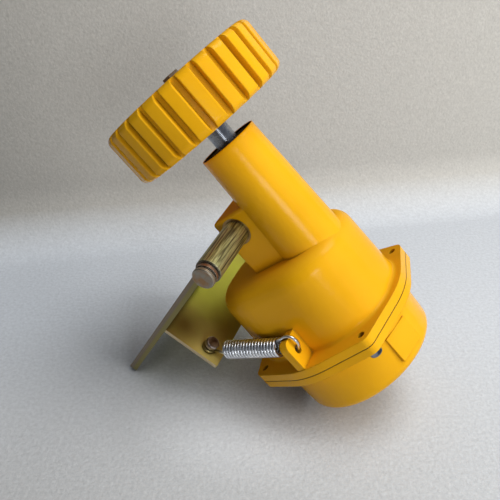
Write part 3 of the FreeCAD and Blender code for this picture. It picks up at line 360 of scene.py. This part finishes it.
def enamel_material():
    """Gloss yellow enamel on a casting, with dust and painted shade in the corners, dull ledges and a few
    dark specks.
    """
    material, tree, shader = new_material("yellow_enamel")
    drift = noise(tree, scale=22.0, detail=4.0)
    colour = ramp(tree, drift, ((0.30, ENAMEL_DEEP), (0.72, ENAMEL_PURE)))
    # Dust and painted shade: darker where corners and grooves are tight.
    dust_and_shade = mask(tree, crevices(tree, distance=0.005), start=0.38, end=0.78, most=0.85)
    colour = blend_colour(tree, dust_and_shade, colour, ENAMEL_DUST_AND_SHADE)
    colour = blend_colour(tree, specks(tree, scale=60.0, share=0.035, radius=0.10), colour, ENAMEL_SPECK)
    set_input(tree, shader, "Base Color", colour)
    gloss = spread(tree, noise(tree, scale=90.0), low=0.14, high=0.26)
    ledge = progress(tree, turned_to(tree, NECK_AXIS), start=0.5, end=0.9)
    dull = arithmetic(tree, "MULTIPLY", ledge, 0.6)
    set_input(tree, shader, "Roughness", arithmetic(tree, "ADD", gloss, dull))
    set_input(tree, shader, "Specular IOR Level", 0.14)
    relief(tree, shader, noise(tree, scale=260.0, detail=2.0), depth=0.00012, edge_radius=0.001)
    return material


def plating_colour(tree, grain):
    """Yellow zinc plating with rainbow drift and rolled grain, painted light in two places and a darker
    brown patch.
    """
    drift = noise(tree, scale=45.0, detail=5.0, stretch=(1, 1, 0.4))
    colour = ramp(tree, drift, (
        (0.28, PLATING_GREEN), (0.45, PLATING_OLIVE), (0.58, PLATING_GOLD), (0.74, PLATING_BROWN)))
    colour = blend_colour(tree, spread(tree, grain, low=0.0, high=0.5), colour, PLATING_GRAIN)
    # Painted light: a pool of pale green light on the shelf's far part.
    colour = tinted(tree, colour, PLATING_LIGHT_POOL, SHELF_LIGHT_POOL, inner=0.022, outer=0.055)
    # Painted light: paler gold by the anchor, lifting the shade of the spring and chamber.
    colour = tinted(tree, colour, PLATING_PAINTED_LIGHT, SHELF_PAINTED_LIGHT, inner=0.006, outer=0.032)
    # A darker brown patch near the plate's foot.
    return tinted(tree, colour, PLATING_DARK_PATCH, SHELF_DARK_PATCH, inner=0.002, outer=0.020)


def sheared_colour(tree):
    """Plate's sheared edge in two bands through its thickness, the outer one a painted grey reflection, and
    a painted highlight on the edges beyond it.
    """
    cut = progress(tree, coordinate(tree, "X"), start=0.0, end=2 * PLATE_THICKNESS)
    return ramp(tree, cut, (
        (0.20, SHEAR_GREY_REFLECTION), (0.28, SHEAR_OLIVE), (0.50, SHEAR_OLIVE), (0.56, SHEAR_HIGHLIGHT)))


def passivated_material():
    """Yellow zinc plating on the bracket, with sheared edges and painted shade in its corners and joints."""
    material, tree, shader = new_material("yellow_zinc")
    grain = noise(tree, scale=900.0, detail=2.0, stretch=(1, 1, 0.04))
    colour = plating_colour(tree, grain)
    colour = blend_colour(tree, end_faces(tree, PLATE_SIDES), colour, sheared_colour(tree))
    # Painted shade: darker in the plate's corners and along the joint with the shelf.
    shaded_corner = mask(tree, crevices(tree, distance=0.015), start=0.35, end=0.90, most=0.8)
    colour = blend_colour(tree, shaded_corner, colour, CORNER_SHADE)
    shaded_joint = mask(tree, crevices(tree, distance=0.005), start=0.25, end=0.50, most=0.85)
    colour = blend_colour(tree, shaded_joint, colour, JOINT_SHADE)
    set_input(tree, shader, "Base Color", colour)
    set_input(tree, shader, "Metallic", 0.6)
    gloss = spread(tree, noise(tree, scale=120.0, detail=4.0), low=0.30, high=0.52)
    set_input(tree, shader, "Roughness", gloss)
    relief(tree, shader, grain, depth=0.00005, edge_radius=0.0004)
    return material


def tip_colour(tree, colour):
    """Pin's colour with the stepped tip recoloured: painted shade in the grooves either side of a coppery
    collar.
    """
    zone = progress(tree, coordinate(tree, "Y"), start=PIN_END, end=PIN_END + PIN_TIP)
    tip_tones_and_shade = ramp(tree, zone, (
        (0.22, TIP_GREY), (0.26, TIP_GROOVE_SHADE), (0.42, TIP_GROOVE_SHADE),
        (0.45, COLLAR_DARK), (0.60, COLLAR_COPPER), (0.70, TIP_LAST_GROOVE_SHADE)))
    share = ramp(tree, zone, ((0.80, grey(1.0)), (0.86, grey(0.0))))
    return blend_colour(tree, share, colour, tip_tones_and_shade)


def streaked_pin_material():
    """Yellow zinc on a drawn bar, with streaks along its length and brown stains."""
    material, tree, shader = new_material("streaked_zinc")
    streak = noise(tree, scale=520.0, detail=3.0, roughness=0.6, stretch=(1, 0.05, 1))
    colour = ramp(tree, streak, (
        (0.36, STREAK_BLACK), (0.44, STREAK_OLIVE), (0.52, STREAK_PALE),
        (0.60, STREAK_TAN), (0.68, STREAK_BROWN)))
    stain = noise(tree, scale=110.0, detail=4.0)
    colour = blend_colour(tree, spread(tree, stain, low=0.0, high=0.45), colour, PIN_STAIN)
    colour = tip_colour(tree, colour)
    disc = ramp(tree, noise(tree, scale=160.0), ((0.40, DISC_GREY), (0.60, DISC_RUST)))
    colour = blend_colour(tree, end_faces(tree, PIN_AXIS), colour, disc)
    # Painted shade in the pin's corners and grooves.
    colour = blend_colour(tree, crevices(tree, distance=0.003), colour, PIN_CORNER_SHADE)
    # Worn bare edges, with painted glints along them.
    colour = blend_colour(tree, edge_wear(tree, radius=0.0005), colour, PIN_WORN_EDGE_AND_GLINT)
    set_input(tree, shader, "Base Color", colour)
    set_input(tree, shader, "Metallic", 0.8)
    set_input(tree, shader, "Roughness", spread(tree, stain, low=0.34, high=0.54))
    relief(tree, shader, streak, depth=0.00006, edge_radius=0.0003)
    return material


def metal_material(name, colour, shade, roughness, corner_shade_reach=0.0, brown_tint_place=None, wear_and_glint_radius=0.0):
    """Bare or plated metal with drift to a shade, grain, painted shade in corners, a place tinted brown and
    worn edges with painted glints.
    """
    material, tree, shader = new_material(name)
    drift = noise(tree, scale=140.0, detail=4.0)
    grain = noise(tree, scale=1400.0, detail=2.0)
    mixed = ramp(tree, drift, ((0.35, shade), (0.62, colour)))
    mixed = blend_colour(tree, spread(tree, grain, low=0.0, high=0.35), mixed, shade)
    # Painted shade in corners, such as the valleys between the spring's coils.
    if corner_shade_reach:
        shaded_corner = mask(tree, crevices(tree, corner_shade_reach), start=0.18, end=0.55)
        mixed = blend_colour(tree, shaded_corner, mixed, METAL_CORNER_SHADE)
    # Tinted yellow-brown round a place.
    if brown_tint_place:
        mixed = tinted(tree, mixed, METAL_BROWN_TINT, brown_tint_place, inner=0.008, outer=0.013)
    # Worn bare edges, with painted glints along them.
    if wear_and_glint_radius:
        mixed = blend_colour(tree, edge_wear(tree, wear_and_glint_radius), mixed, METAL_WORN_EDGE_AND_GLINT)
    set_input(tree, shader, "Base Color", mixed)
    set_input(tree, shader, "Metallic", 1.0)
    set_input(tree, shader, "Roughness", spread(tree, drift, roughness * 0.8, roughness * 1.3))
    relief(tree, shader, grain, depth=0.00003, edge_radius=0.0002)
    return material


def moulded_material(name, colour, shade, roughness):
    """Rubber, plastic or solder mask with a fine matt grain."""
    material, tree, shader = new_material(name)
    drift = noise(tree, scale=300.0, detail=4.0)
    set_input(tree, shader, "Base Color", ramp(tree, drift, ((0.35, shade), (0.65, colour))))
    set_input(tree, shader, "Roughness", spread(tree, drift, roughness * 0.85, roughness * 1.15))
    set_input(tree, shader, "Specular IOR Level", 0.15)
    relief(tree, shader, noise(tree, scale=1600.0), depth=0.00003)
    return material


ENAMEL = enamel_material()
YELLOW_ZINC = passivated_material()
PIN_ZINC = streaked_pin_material()
BRIGHT_ZINC = metal_material(
    "bright_zinc", colour=(0.40, 0.43, 0.48), shade=(0.10, 0.11, 0.14), roughness=0.20,
    corner_shade_reach=0.002, wear_and_glint_radius=0.0005)
DARK_ZINC = metal_material(
    "dark_zinc", colour=(0.52, 0.45, 0.40), shade=(0.14, 0.10, 0.08), roughness=0.34,
    corner_shade_reach=0.0015, wear_and_glint_radius=0.0006)
WORN_STEEL = metal_material(
    "worn_steel", colour=(0.40, 0.42, 0.45), shade=(0.16, 0.17, 0.19), roughness=0.26)
DULL_STEEL = metal_material(
    "dull_steel", colour=(0.30, 0.23, 0.16), shade=(0.16, 0.12, 0.08), roughness=0.50)
GROUND_STEEL = metal_material(
    "ground_steel", colour=(0.66, 0.67, 0.68), shade=(0.42, 0.43, 0.46), roughness=0.14)
SPRING_WIRE = metal_material(
    "spring_wire", colour=(0.92, 0.94, 0.97), shade=(0.66, 0.69, 0.74), roughness=0.30,
    corner_shade_reach=0.0022, brown_tint_place=ANCHOR)
BLACK_STEEL = metal_material(
    "black_steel", colour=(0.060, 0.048, 0.036), shade=(0.030, 0.024, 0.018), roughness=0.50)
NICKEL = metal_material(
    "nickel_plate", colour=(0.66, 0.63, 0.55), shade=(0.45, 0.42, 0.35), roughness=0.26)
BRONZE = metal_material(
    "bronze", colour=(0.55, 0.36, 0.16), shade=(0.36, 0.22, 0.09), roughness=0.35)
ALUMINIUM = metal_material(
    "machined_aluminium", colour=(0.74, 0.75, 0.76), shade=(0.56, 0.57, 0.58), roughness=0.32)
BLACK_RUBBER = moulded_material(
    "black_rubber", colour=(0.018, 0.015, 0.012), shade=(0.008, 0.007, 0.006), roughness=0.75)
GASKET_RUBBER = moulded_material(
    "gasket_rubber", colour=(0.06, 0.03, 0.006), shade=(0.03, 0.015, 0.004), roughness=0.80)
BLACK_PLASTIC = moulded_material(
    "black_plastic", colour=(0.03, 0.03, 0.03), shade=(0.015, 0.015, 0.015), roughness=0.45)
GREEN_PLASTIC = moulded_material(
    "green_plastic", colour=(0.05, 0.26, 0.12), shade=(0.03, 0.18, 0.08), roughness=0.45)
BOARD_MASK = moulded_material(
    "board_mask", colour=(0.02, 0.17, 0.06), shade=(0.015, 0.11, 0.04), roughness=0.30)

FINISHES = {
    ENAMEL: ("housing", "cover", "contact_wheel"),
    YELLOW_ZINC: ("mounting_bracket",),
    PIN_ZINC: ("pivot_pin",),
    BRIGHT_ZINC: ("pin_washer", "anchor_washer", "anchor_nut", "cover_screws", "cover_washers",
                  "wheel_washer", "disc_screw", "board_screws"),
    DARK_ZINC: ("anchor_screw",),
    WORN_STEEL: ("spindle",),
    DULL_STEEL: ("wheel_bolt",),
    GROUND_STEEL: ("wheel_key", "front_bearing_outer", "front_bearing_inner",
                   "rear_bearing_outer", "rear_bearing_inner", "bearing_spacer", "disc_magnets"),
    SPRING_WIRE: ("tension_spring",),
    BLACK_STEEL: ("pin_circlip", "bearing_circlip", "spindle_circlip"),
    NICKEL: ("gland_body", "gland_nut", "board_standoffs"),
    BRONZE: ("pivot_bush",),
    ALUMINIUM: ("magnet_disc",),
    BLACK_RUBBER: ("shaft_seal", "gland_seal", "front_bearing_seal", "rear_bearing_seal"),
    GASKET_RUBBER: ("cover_gasket",),
    BLACK_PLASTIC: ("sensor",),
    GREEN_PLASTIC: ("terminal_block",),
    BOARD_MASK: ("circuit_board",),
}


def dress_nodes():
    """Give every sub-part its finish."""
    for material, names in FINISHES.items():
        for name in names:
            slots = nodes[name].data.materials
            slots.clear()
            slots.append(material)


def add_object(name, data):
    """Object of a mesh, curve, lamp or camera, linked into the scene."""
    item = bpy.data.objects.new(name, data)
    bpy.context.scene.collection.objects.link(item)
    return item


def smooth_faces(mesh):
    """Shade every face of a mesh smooth."""
    for face in mesh.polygons:
        face.use_smooth = True


def axes_matrix(x_axis, y_axis, z_axis):
    """Turn to a frame with these axes."""
    return Matrix((x_axis, y_axis, z_axis)).transposed().to_4x4()


def spring_frame():
    """Spring's own frame: z along the coils to the lug, x towards the lug's top; and its length."""
    start = ANCHOR + COIL_SHIFT
    along = LUG_EYE - start
    z_axis = along.normalized()
    x_axis = (NECK_AXIS - z_axis * NECK_AXIS.dot(z_axis)).normalized()
    return Matrix.Translation(start) @ axes_matrix(x_axis, z_axis.cross(x_axis), z_axis), along.length


def eye_points(step):
    """Open eye round the anchor screw, level with the shelf."""
    angles = [index * step for index in range(EYE_OPENING, POINTS_PER_TURN + 1)]
    return [ANCHOR + EYE_RADIUS * Vector((math.cos(angle), math.sin(angle), 0)) for angle in angles]


def coil_points(step, coil_end):
    """Coils in the spring's frame, half a turn short so that they end on the hook's side."""
    coil_start = coil_end - COIL_PITCH * SPRING_TURNS
    count = int((SPRING_TURNS - 0.5) * POINTS_PER_TURN)
    points = []
    for index in range(count + 1):
        angle = math.pi + index * step
        height = coil_start + (coil_end - coil_start) * index / count
        points.append(Vector((SPRING_RADIUS * math.cos(angle), SPRING_RADIUS * math.sin(angle), height)))
    return points


def hook_points(step, span):
    """Half-round hook in the spring's frame, through the lug's eye, and its straight tip."""
    points = []
    for index in range(POINTS_PER_TURN // 2 + 1):
        angle = index * step
        rise = HOOK_RADIUS * (1 + math.cos(angle)) - HOOK_RISE
        points.append(Vector((rise, 0, span + HOOK_RADIUS * math.sin(angle))))
    points.append(Vector((-HOOK_RISE, 0, span - HOOK_TIP)))
    return points


def spring_route():
    """Points along the wire: eye, coils and hook, with a straight lead between each two."""
    home, span = spring_frame()
    step = FULL_TURN / POINTS_PER_TURN
    wound = coil_points(step, span - HOOK_LEAD) + hook_points(step, span)
    return eye_points(step) + [home @ point for point in wound]


def wire_mesh(route):
    """Round wire along a smooth line through a route."""
    curve = bpy.data.curves.new("spring_line", "CURVE")
    curve.dimensions = "3D"
    curve.bevel_depth = WIRE_RADIUS
    curve.bevel_resolution = WIRE_ROUNDNESS
    curve.use_fill_caps = True
    curve.resolution_u = ROUTE_STEPS
    spline = curve.splines.new("NURBS")
    spline.points.add(len(route) - 1)
    for point, spot in zip(spline.points, route):
        point.co = (*spot, 1.0)
    spline.order_u = ROUTE_ORDER
    spline.use_endpoint_u = True
    line = add_object("spring_line", curve)
    bpy.context.view_layer.update()
    mesh = bpy.data.meshes.new_from_object(line.evaluated_get(bpy.context.evaluated_depsgraph_get()))
    bpy.data.objects.remove(line)
    return mesh


def make_spring():
    """Wound wire spring in place of the turned sleeve of the source."""
    mesh = wire_mesh(spring_route())
    smooth_faces(mesh)
    mesh.materials.clear()
    mesh.materials.append(SPRING_WIRE)
    spring = add_object("wound_spring", mesh)
    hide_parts("tension_spring")
    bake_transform(spring)


def rim_profile():
    """Rim's outline as (radius, height): up the inner wall, over the top and down over the neck's skin."""
    inner = NECK_TOP_RADIUS - RIM_WALL
    top = NECK_TOP + RIM_HEIGHT
    profile = [(inner, NECK_TOP), (inner, top - RIM_EDGE), (inner + RIM_EDGE, top)]
    for height in (top, top - RIM_EDGE, NECK_TOP - RIM_LAP):
        skin = NECK_TOP_RADIUS + NECK_TAPER * (NECK_TOP - height) + RIM_SKIN
        profile.append((skin - RIM_EDGE if height == top else skin, height))
    return profile


def make_neck_rim():
    """Cast rim on the neck's end, enamelled outside, with black rubber on its inner wall as the seal's lip
    and as painted shade.
    """
    profile = rim_profile()
    count = len(profile)
    spots, faces = [], []
    for turn in range(RIM_SIDES):
        angle = turn * FULL_TURN / RIM_SIDES
        spots += [UNIT @ Vector((NECK_OFFSET + radius * math.cos(angle), radius * math.sin(angle), height))
                  for radius, height in profile]
        near, far = turn * count, (turn + 1) % RIM_SIDES * count
        faces += [(near + row, near + row + 1, far + row + 1, far + row) for row in range(count - 1)]
    mesh = bpy.data.meshes.new("neck_rim")
    mesh.from_pydata(spots, [], faces)
    mesh.materials.append(ENAMEL)
    mesh.materials.append(BLACK_RUBBER)
    smooth_faces(mesh)
    # Black rubber on the rim's inner wall, for the seal's lip and as painted shade.
    for index, face in enumerate(mesh.polygons):
        face.material_index = 1 if index % (count - 1) == 0 else 0
    rim = add_object("neck_rim", mesh)
    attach(rim, "housing")


def floor_frame():
    """Frame of the floor as the camera sees it: right, away and up from the point under the camera."""
    up = (UNIT_TURN @ FLOOR_UP).normalized()
    lowest = min(up.dot(vertex.co) for node in nodes.values() for vertex in node.data.vertices)
    camera = UNIT @ CAMERA_PLACE
    gaze = UNIT_TURN @ (CAMERA_TARGET - CAMERA_PLACE)
    away = (gaze - up * gaze.dot(up)).normalized()
    foot = camera - up * (up.dot(camera) - lowest)
    return Matrix.Translation(foot) @ axes_matrix(away.cross(up), away, up)


def looking_rays(tree):
    """1 for what the camera, gloss and glass see, and 0 for light on its way between surfaces."""
    path = add_node(tree, "LightPath").outputs
    seen = arithmetic(tree, "MAXIMUM", path["Is Camera Ray"], path["Is Glossy Ray"])
    return arithmetic(tree, "MAXIMUM", seen, path["Is Transmission Ray"])


def wall_colour(tree):
    """Wall with painted shade: darker and warmer to the left."""
    across = progress(tree, coordinate(tree, "X"), start=-1.0, end=0.4)
    return ramp(tree, across, (
        (0.05, WALL_LEFT), (0.47, WALL_MIDDLE), (0.72, WALL_PALE), (0.95, WALL_RIGHT)))


def floor_colour(tree):
    """Floor with painted light and shade: paler to the right and further away, a painted pool of light by
    the object and a painted shadow under it.
    """
    # Painted light: paler to the right and further away.
    depth = progress(tree, coordinate(tree, "Y"), start=0.18, end=0.42)
    right = progress(tree, coordinate(tree, "X"), start=-0.15, end=0.20)
    near = blend_colour(tree, right, FLOOR_NEAR_LEFT, FLOOR_NEAR_RIGHT)
    far = blend_colour(tree, right, FLOOR_FAR_LEFT, FLOOR_FAR_RIGHT)
    colour = blend_colour(tree, depth, near, far)
    # Painted pool of light on the floor by the object.
    light_pool = spread(tree, near_place(tree, FLOOR_LIGHT_POOL_CENTRE, inner=0.03, outer=0.10), low=0.0, high=0.85)
    colour = blend_colour(tree, light_pool, colour, FLOOR_LIGHT_POOL)
    # Painted shadow on the floor under and round the object.
    contact_shadow = mask(tree, crevices(tree, distance=0.06), start=0.36, end=0.80, most=0.90)
    return blend_colour(tree, contact_shadow, colour, grey(0.10))


def card_material():
    """Pale matt card for floor and wall, dimmer to bounced light and clear when seen from behind."""
    material, tree, shader = new_material("card")
    height = progress(tree, coordinate(tree, "Z"), start=0.0, end=WALL_COLOUR_HEIGHT)
    colour = blend_colour(tree, height, floor_colour(tree), wall_colour(tree))
    grit = noise(tree, scale=330.0, detail=6.0, roughness=0.7)
    mottle = ramp(tree, grit, ((0.30, grey(0.80)), (0.70, grey(1.0))))
    colour = blend_colour(tree, 1.0, colour, mottle, "MULTIPLY")
    bounce = blend_colour(tree, height, grey(0.33), grey(0.14))
    colour = blend_colour(tree, looking_rays(tree), bounce, colour)
    set_input(tree, shader, "Base Color", colour)
    set_input(tree, shader, "Roughness", 0.9)
    set_input(tree, shader, "Specular IOR Level", 0.1)
    relief(tree, shader, noise(tree, scale=420.0, detail=4.0), depth=0.0004)
    back = add_node(tree, "NewGeometry").outputs["Backfacing"]
    clear = add_node(tree, "BsdfTransparent").outputs["BSDF"]
    mixed = add_node(tree, "MixShader", {0: back, 1: shader.outputs["BSDF"], 2: clear})
    tree.links.new(mixed.outputs["Shader"], tree.nodes["Material Output"].inputs["Surface"])
    return material


def make_stage(home):
    """Floor that runs through a bend into a slightly turned wall behind the object."""
    profile = [(-STAGE_REACH, 0.0)]
    for index in range(SWEEP_STEPS + 1):
        angle = index * math.pi / 2 / SWEEP_STEPS
        profile.append((WALL_DISTANCE - SWEEP_RADIUS + SWEEP_RADIUS * math.sin(angle),
                        SWEEP_RADIUS - SWEEP_RADIUS * math.cos(angle)))
    profile.append((WALL_DISTANCE, STAGE_REACH))
    turn = Matrix.Rotation(WALL_TURN, 3, "Z")
    spots = [turn @ Vector((side, away, height)) for away, height in profile
             for side in (-STAGE_REACH, STAGE_REACH)]
    faces = [(2 * row, 2 * row + 1, 2 * row + 3, 2 * row + 2) for row in range(len(profile) - 1)]
    mesh = bpy.data.meshes.new("stage")
    mesh.from_pydata(spots, [], faces)
    mesh.materials.append(card_material())
    smooth_faces(mesh)
    stage = add_object("stage", mesh)
    stage.matrix_world = home


def add_lamp(home, name, place, size, power, colour):
    """Square soft lamp at a place in the floor's frame, turned to the object."""
    light = bpy.data.lights.new(name, "AREA")
    light.shape = "SQUARE"
    light.size = size
    light.energy = power
    light.color = colour
    lamp = add_object(name, light)
    spot = home @ Vector(place)
    gaze = home @ Vector(LAMP_TARGET) - spot
    lamp.matrix_world = Matrix.Translation(spot) @ gaze.to_track_quat("-Z", "Y").to_matrix().to_4x4()
    return lamp


def make_light(home):
    """Large window to the upper right, which gloss does not mirror, a small far one and a ceiling lamp."""
    window = add_lamp(home, "window", place=(1.35, -0.30, 1.0), size=1.5, power=22.0,
                      colour=(1.0, 0.97, 0.92))
    window.visible_glossy = False
    add_lamp(home, "far_window", place=(0.35, -0.9, 0.40), size=0.32, power=3.2, colour=(0.96, 0.98, 1.0))
    add_lamp(home, "ceiling", place=(0.30, 0.30, 1.20), size=0.6, power=5.1, colour=(1.0, 0.99, 0.97))


def make_room(home):
    """Room that is bright to the right and above, and dark to the left and below."""
    world = bpy.data.worlds.new("room")
    world.use_nodes = True
    tree = world.node_tree
    facing = add_node(tree, "TexCoord").outputs["Generated"]
    turn = compare_vectors(tree, "DOT_PRODUCT", facing, home.to_3x3() @ BRIGHT_SIDE)
    level = progress(tree, turn, start=-1.0, end=1.0)
    colour = ramp(tree, level, ((0.20, ROOM_DARK), (0.60, ROOM_MIDDLE), (0.90, ROOM_BRIGHT)))
    set_input(tree, tree.nodes["Background"], "Color", colour)
    set_input(tree, tree.nodes["Background"], "Strength", ROOM_STRENGTH)
    bpy.context.scene.world = world


def make_camera():
    """Camera at the photograph's place."""
    data = bpy.data.cameras.new("camera")
    data.sensor_width = CAMERA_SENSOR
    data.lens = CAMERA_LENS
    data.clip_start = CAMERA_NEAREST
    gaze = (CAMERA_TARGET - CAMERA_PLACE).normalized()
    right = gaze.cross(CAMERA_UP).normalized()
    camera = add_object("camera", data)
    camera.matrix_world = (UNIT @ Matrix.Translation(CAMERA_PLACE)
                           @ axes_matrix(right, right.cross(gaze), -gaze))
    bpy.context.scene.camera = camera


dress_nodes()
make_spring()
make_neck_rim()
floor_home = floor_frame()
make_stage(floor_home)
make_light(floor_home)
make_room(floor_home)
make_camera()
bpy.context.scene.view_settings.view_transform = "Standard"
